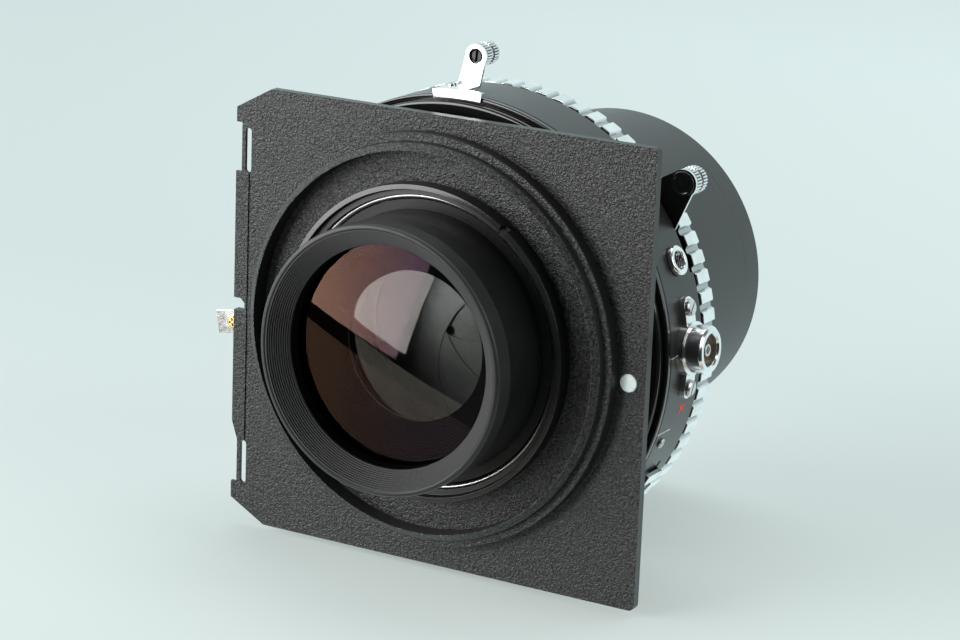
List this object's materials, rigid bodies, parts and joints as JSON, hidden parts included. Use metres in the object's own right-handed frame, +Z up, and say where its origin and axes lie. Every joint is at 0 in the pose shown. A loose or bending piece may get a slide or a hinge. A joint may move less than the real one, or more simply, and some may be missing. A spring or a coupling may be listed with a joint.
{
  "type": "view-camera lens in leaf shutter on lens board",
  "caption": "Large-format lens in a dial-set leaf shutter, screwed to a square wrinkle-painted lens board, with working levers, iris and shutter leaves.",
  "frame": {"origin": "where the lens axis meets the plane of the lens board's rear face", "axes": "+Y along the lens axis towards the front of the lens, -Y to the rear of the board, +Z up the board"},
  "size_m": [0.1172, 0.1052, 0.1093],
  "materials": {
    "wrinkle_paint": "fine wrinkle-finish black paint",
    "bright_chrome": "polished plating",
    "satin_black_metal": "fine satin black anodising",
    "black_anodised": "semi-matte black anodising",
    "bare_steel": "turned bare metal",
    "ring_black": "black anodised, rear land worn to grey",
    "gloss_black_enamel": "gloss black enamel, bare bright edges",
    "matte_black_metal": "matte black anodising",
    "blade_grey": "satin grey blades",
    "leaf_black": "thin blackened steel",
    "yellow_brass": "bright screw head",
    "brown_insulator": "dark brown moulded insulator",
    "coated_glass": "polished, amber to purple coated"
  },
  "bodies": {
    "housing": {"lens_board": "wrinkle_paint", "index_stud": "bright_chrome", "cable_socket": "bright_chrome", "sync_socket": "bright_chrome", "shutter_wall": "satin_black_metal", "front_barrel": "black_anodised", "front_rim": "black_anodised", "shutter_base": "bare_steel", "wall_screw": "bare_steel", "sync_screws": "bare_steel", "sync_contact": "bare_steel", "retaining_ring": "ring_black", "rear_cover": "gloss_black_enamel", "front_plate": "gloss_black_enamel", "blade_plate": "matte_black_metal", "mech_plate": "matte_black_metal", "front_housing": "matte_black_metal", "rear_barrel": "matte_black_metal", "rear_hood": "matte_black_metal", "rear_inner_ring": "matte_black_metal", "front_inner_ring": "matte_black_metal", "sync_insulator": "brown_insulator", "rear_glass": "coated_glass", "rear_inner_glass": "coated_glass", "front_glass": "coated_glass", "front_inner_glass": "coated_glass"},
    "aperture": {"aperture_ring": "bare_steel", "aperture_arm": "bare_steel", "aperture_tab": "bright_chrome", "aperture_screw": "yellow_brass"},
    "preview": {"preview_ring": "bare_steel", "preview_arm": "bare_steel", "preview_tab": "bright_chrome"},
    "speed": {"speed_ring": "bright_chrome"},
    "cocking": {"cocking_ring": "gloss_black_enamel", "cocking_lever": "bright_chrome", "cocking_knob": "bright_chrome", "cocking_screw": "bare_steel", "bracket_screw": "bare_steel"},
    "release": {"release_ring": "bare_steel", "release_lever": "gloss_black_enamel", "release_knob": "bright_chrome", "release_cap": "gloss_black_enamel"},
    "iris_1": {"iris_blade_1": "blade_grey"},
    "iris_2": {"iris_blade_2": "blade_grey"},
    "iris_3": {"iris_blade_3": "blade_grey"},
    "iris_4": {"iris_blade_4": "blade_grey"},
    "iris_5": {"iris_blade_5": "blade_grey"},
    "iris_6": {"iris_blade_6": "blade_grey"},
    "iris_7": {"iris_blade_7": "blade_grey"},
    "leaf_1": {"shutter_leaf_1": "leaf_black"},
    "leaf_2": {"shutter_leaf_2": "leaf_black"},
    "leaf_3": {"shutter_leaf_3": "leaf_black"},
    "leaf_4": {"shutter_leaf_4": "leaf_black"},
    "leaf_5": {"shutter_leaf_5": "leaf_black"}
  },
  "joints": [
    {"name": "aperture_set", "type": "hinge", "parent": "housing", "child": "aperture", "pos_m": [0, 0.013, 0], "axis": [0, -1, 0], "range_deg": [0, 48]},
    {"name": "press_focus", "type": "hinge", "parent": "housing", "child": "preview", "pos_m": [0, 0.02, 0], "axis": [0, 1, 0], "range_deg": [0, 28]},
    {"name": "speed_set", "type": "hinge", "parent": "housing", "child": "speed", "pos_m": [0, 0.0287, 0], "axis": [0, -1, 0], "range_deg": [0, 120]},
    {"name": "cocking", "type": "hinge", "parent": "housing", "child": "cocking", "pos_m": [0, 0.0105, 0], "axis": [0, -1, 0], "range_deg": [0, 42], "stiffness_Nm_per_rad": 0.06},
    {"name": "release", "type": "hinge", "parent": "housing", "child": "release", "pos_m": [0, 0.025, 0], "axis": [0, 1, 0], "range_deg": [0, 8], "stiffness_Nm_per_rad": 0.08},
    {"name": "iris_1", "type": "hinge", "parent": "housing", "child": "iris_1", "pos_m": [-0.00641, 0.01486, -0.0405], "axis": [0, -1, 0], "range_deg": [0, 30.41]},
    {"name": "iris_2", "type": "hinge", "parent": "housing", "child": "iris_2", "pos_m": [0.02766, 0.01507, -0.03026], "axis": [0, -1, 0], "range_deg": [0, 30.41]},
    {"name": "iris_3", "type": "hinge", "parent": "housing", "child": "iris_3", "pos_m": [0.04091, 0.01529, 0.00276], "axis": [0, -1, 0], "range_deg": [0, 30.41]},
    {"name": "iris_4", "type": "hinge", "parent": "housing", "child": "iris_4", "pos_m": [0.02335, 0.01551, 0.0337], "axis": [0, -1, 0], "range_deg": [0, 30.41]},
    {"name": "iris_5", "type": "hinge", "parent": "housing", "child": "iris_5", "pos_m": [-0.01179, 0.01573, 0.03927], "axis": [0, -1, 0], "range_deg": [0, 30.41]},
    {"name": "iris_6", "type": "hinge", "parent": "housing", "child": "iris_6", "pos_m": [-0.03805, 0.01596, 0.01526], "axis": [0, -1, 0], "range_deg": [0, 30.41]},
    {"name": "iris_7", "type": "hinge", "parent": "housing", "child": "iris_7", "pos_m": [-0.03566, 0.01617, -0.02023], "axis": [0, -1, 0], "range_deg": [0, 30.41]},
    {"name": "leaf_1", "type": "hinge", "parent": "housing", "child": "leaf_1", "pos_m": [0.04333, 0.01748, 0.00764], "axis": [0, 1, 0], "range_deg": [0, 31.66]},
    {"name": "leaf_2", "type": "hinge", "parent": "housing", "child": "leaf_2", "pos_m": [0.00612, 0.01787, 0.04357], "axis": [0, 1, 0], "range_deg": [0, 31.66]},
    {"name": "leaf_3", "type": "hinge", "parent": "housing", "child": "leaf_3", "pos_m": [-0.03955, 0.01827, 0.01929], "axis": [0, 1, 0], "range_deg": [0, 31.66]},
    {"name": "leaf_4", "type": "hinge", "parent": "housing", "child": "leaf_4", "pos_m": [-0.03056, 0.01868, -0.03165], "axis": [0, 1, 0], "range_deg": [0, 31.66]},
    {"name": "leaf_5", "type": "hinge", "parent": "housing", "child": "leaf_5", "pos_m": [0.02066, 0.01908, -0.03885], "axis": [0, 1, 0], "range_deg": [0, 31.66]}
  ],
  "couplings": [
    {"joint": "iris_1", "follows": "aperture_set", "ratio": 0.63335},
    {"joint": "iris_2", "follows": "aperture_set", "ratio": 0.63335},
    {"joint": "iris_3", "follows": "aperture_set", "ratio": 0.63335},
    {"joint": "iris_4", "follows": "aperture_set", "ratio": 0.63335},
    {"joint": "iris_5", "follows": "aperture_set", "ratio": 0.63335},
    {"joint": "iris_6", "follows": "aperture_set", "ratio": 0.63335},
    {"joint": "iris_7", "follows": "aperture_set", "ratio": 0.63335},
    {"joint": "leaf_1", "follows": "press_focus", "ratio": 1.1305},
    {"joint": "leaf_2", "follows": "press_focus", "ratio": 1.1305},
    {"joint": "leaf_3", "follows": "press_focus", "ratio": 1.1305},
    {"joint": "leaf_4", "follows": "press_focus", "ratio": 1.1305},
    {"joint": "leaf_5", "follows": "press_focus", "ratio": 1.1305}
  ]
}
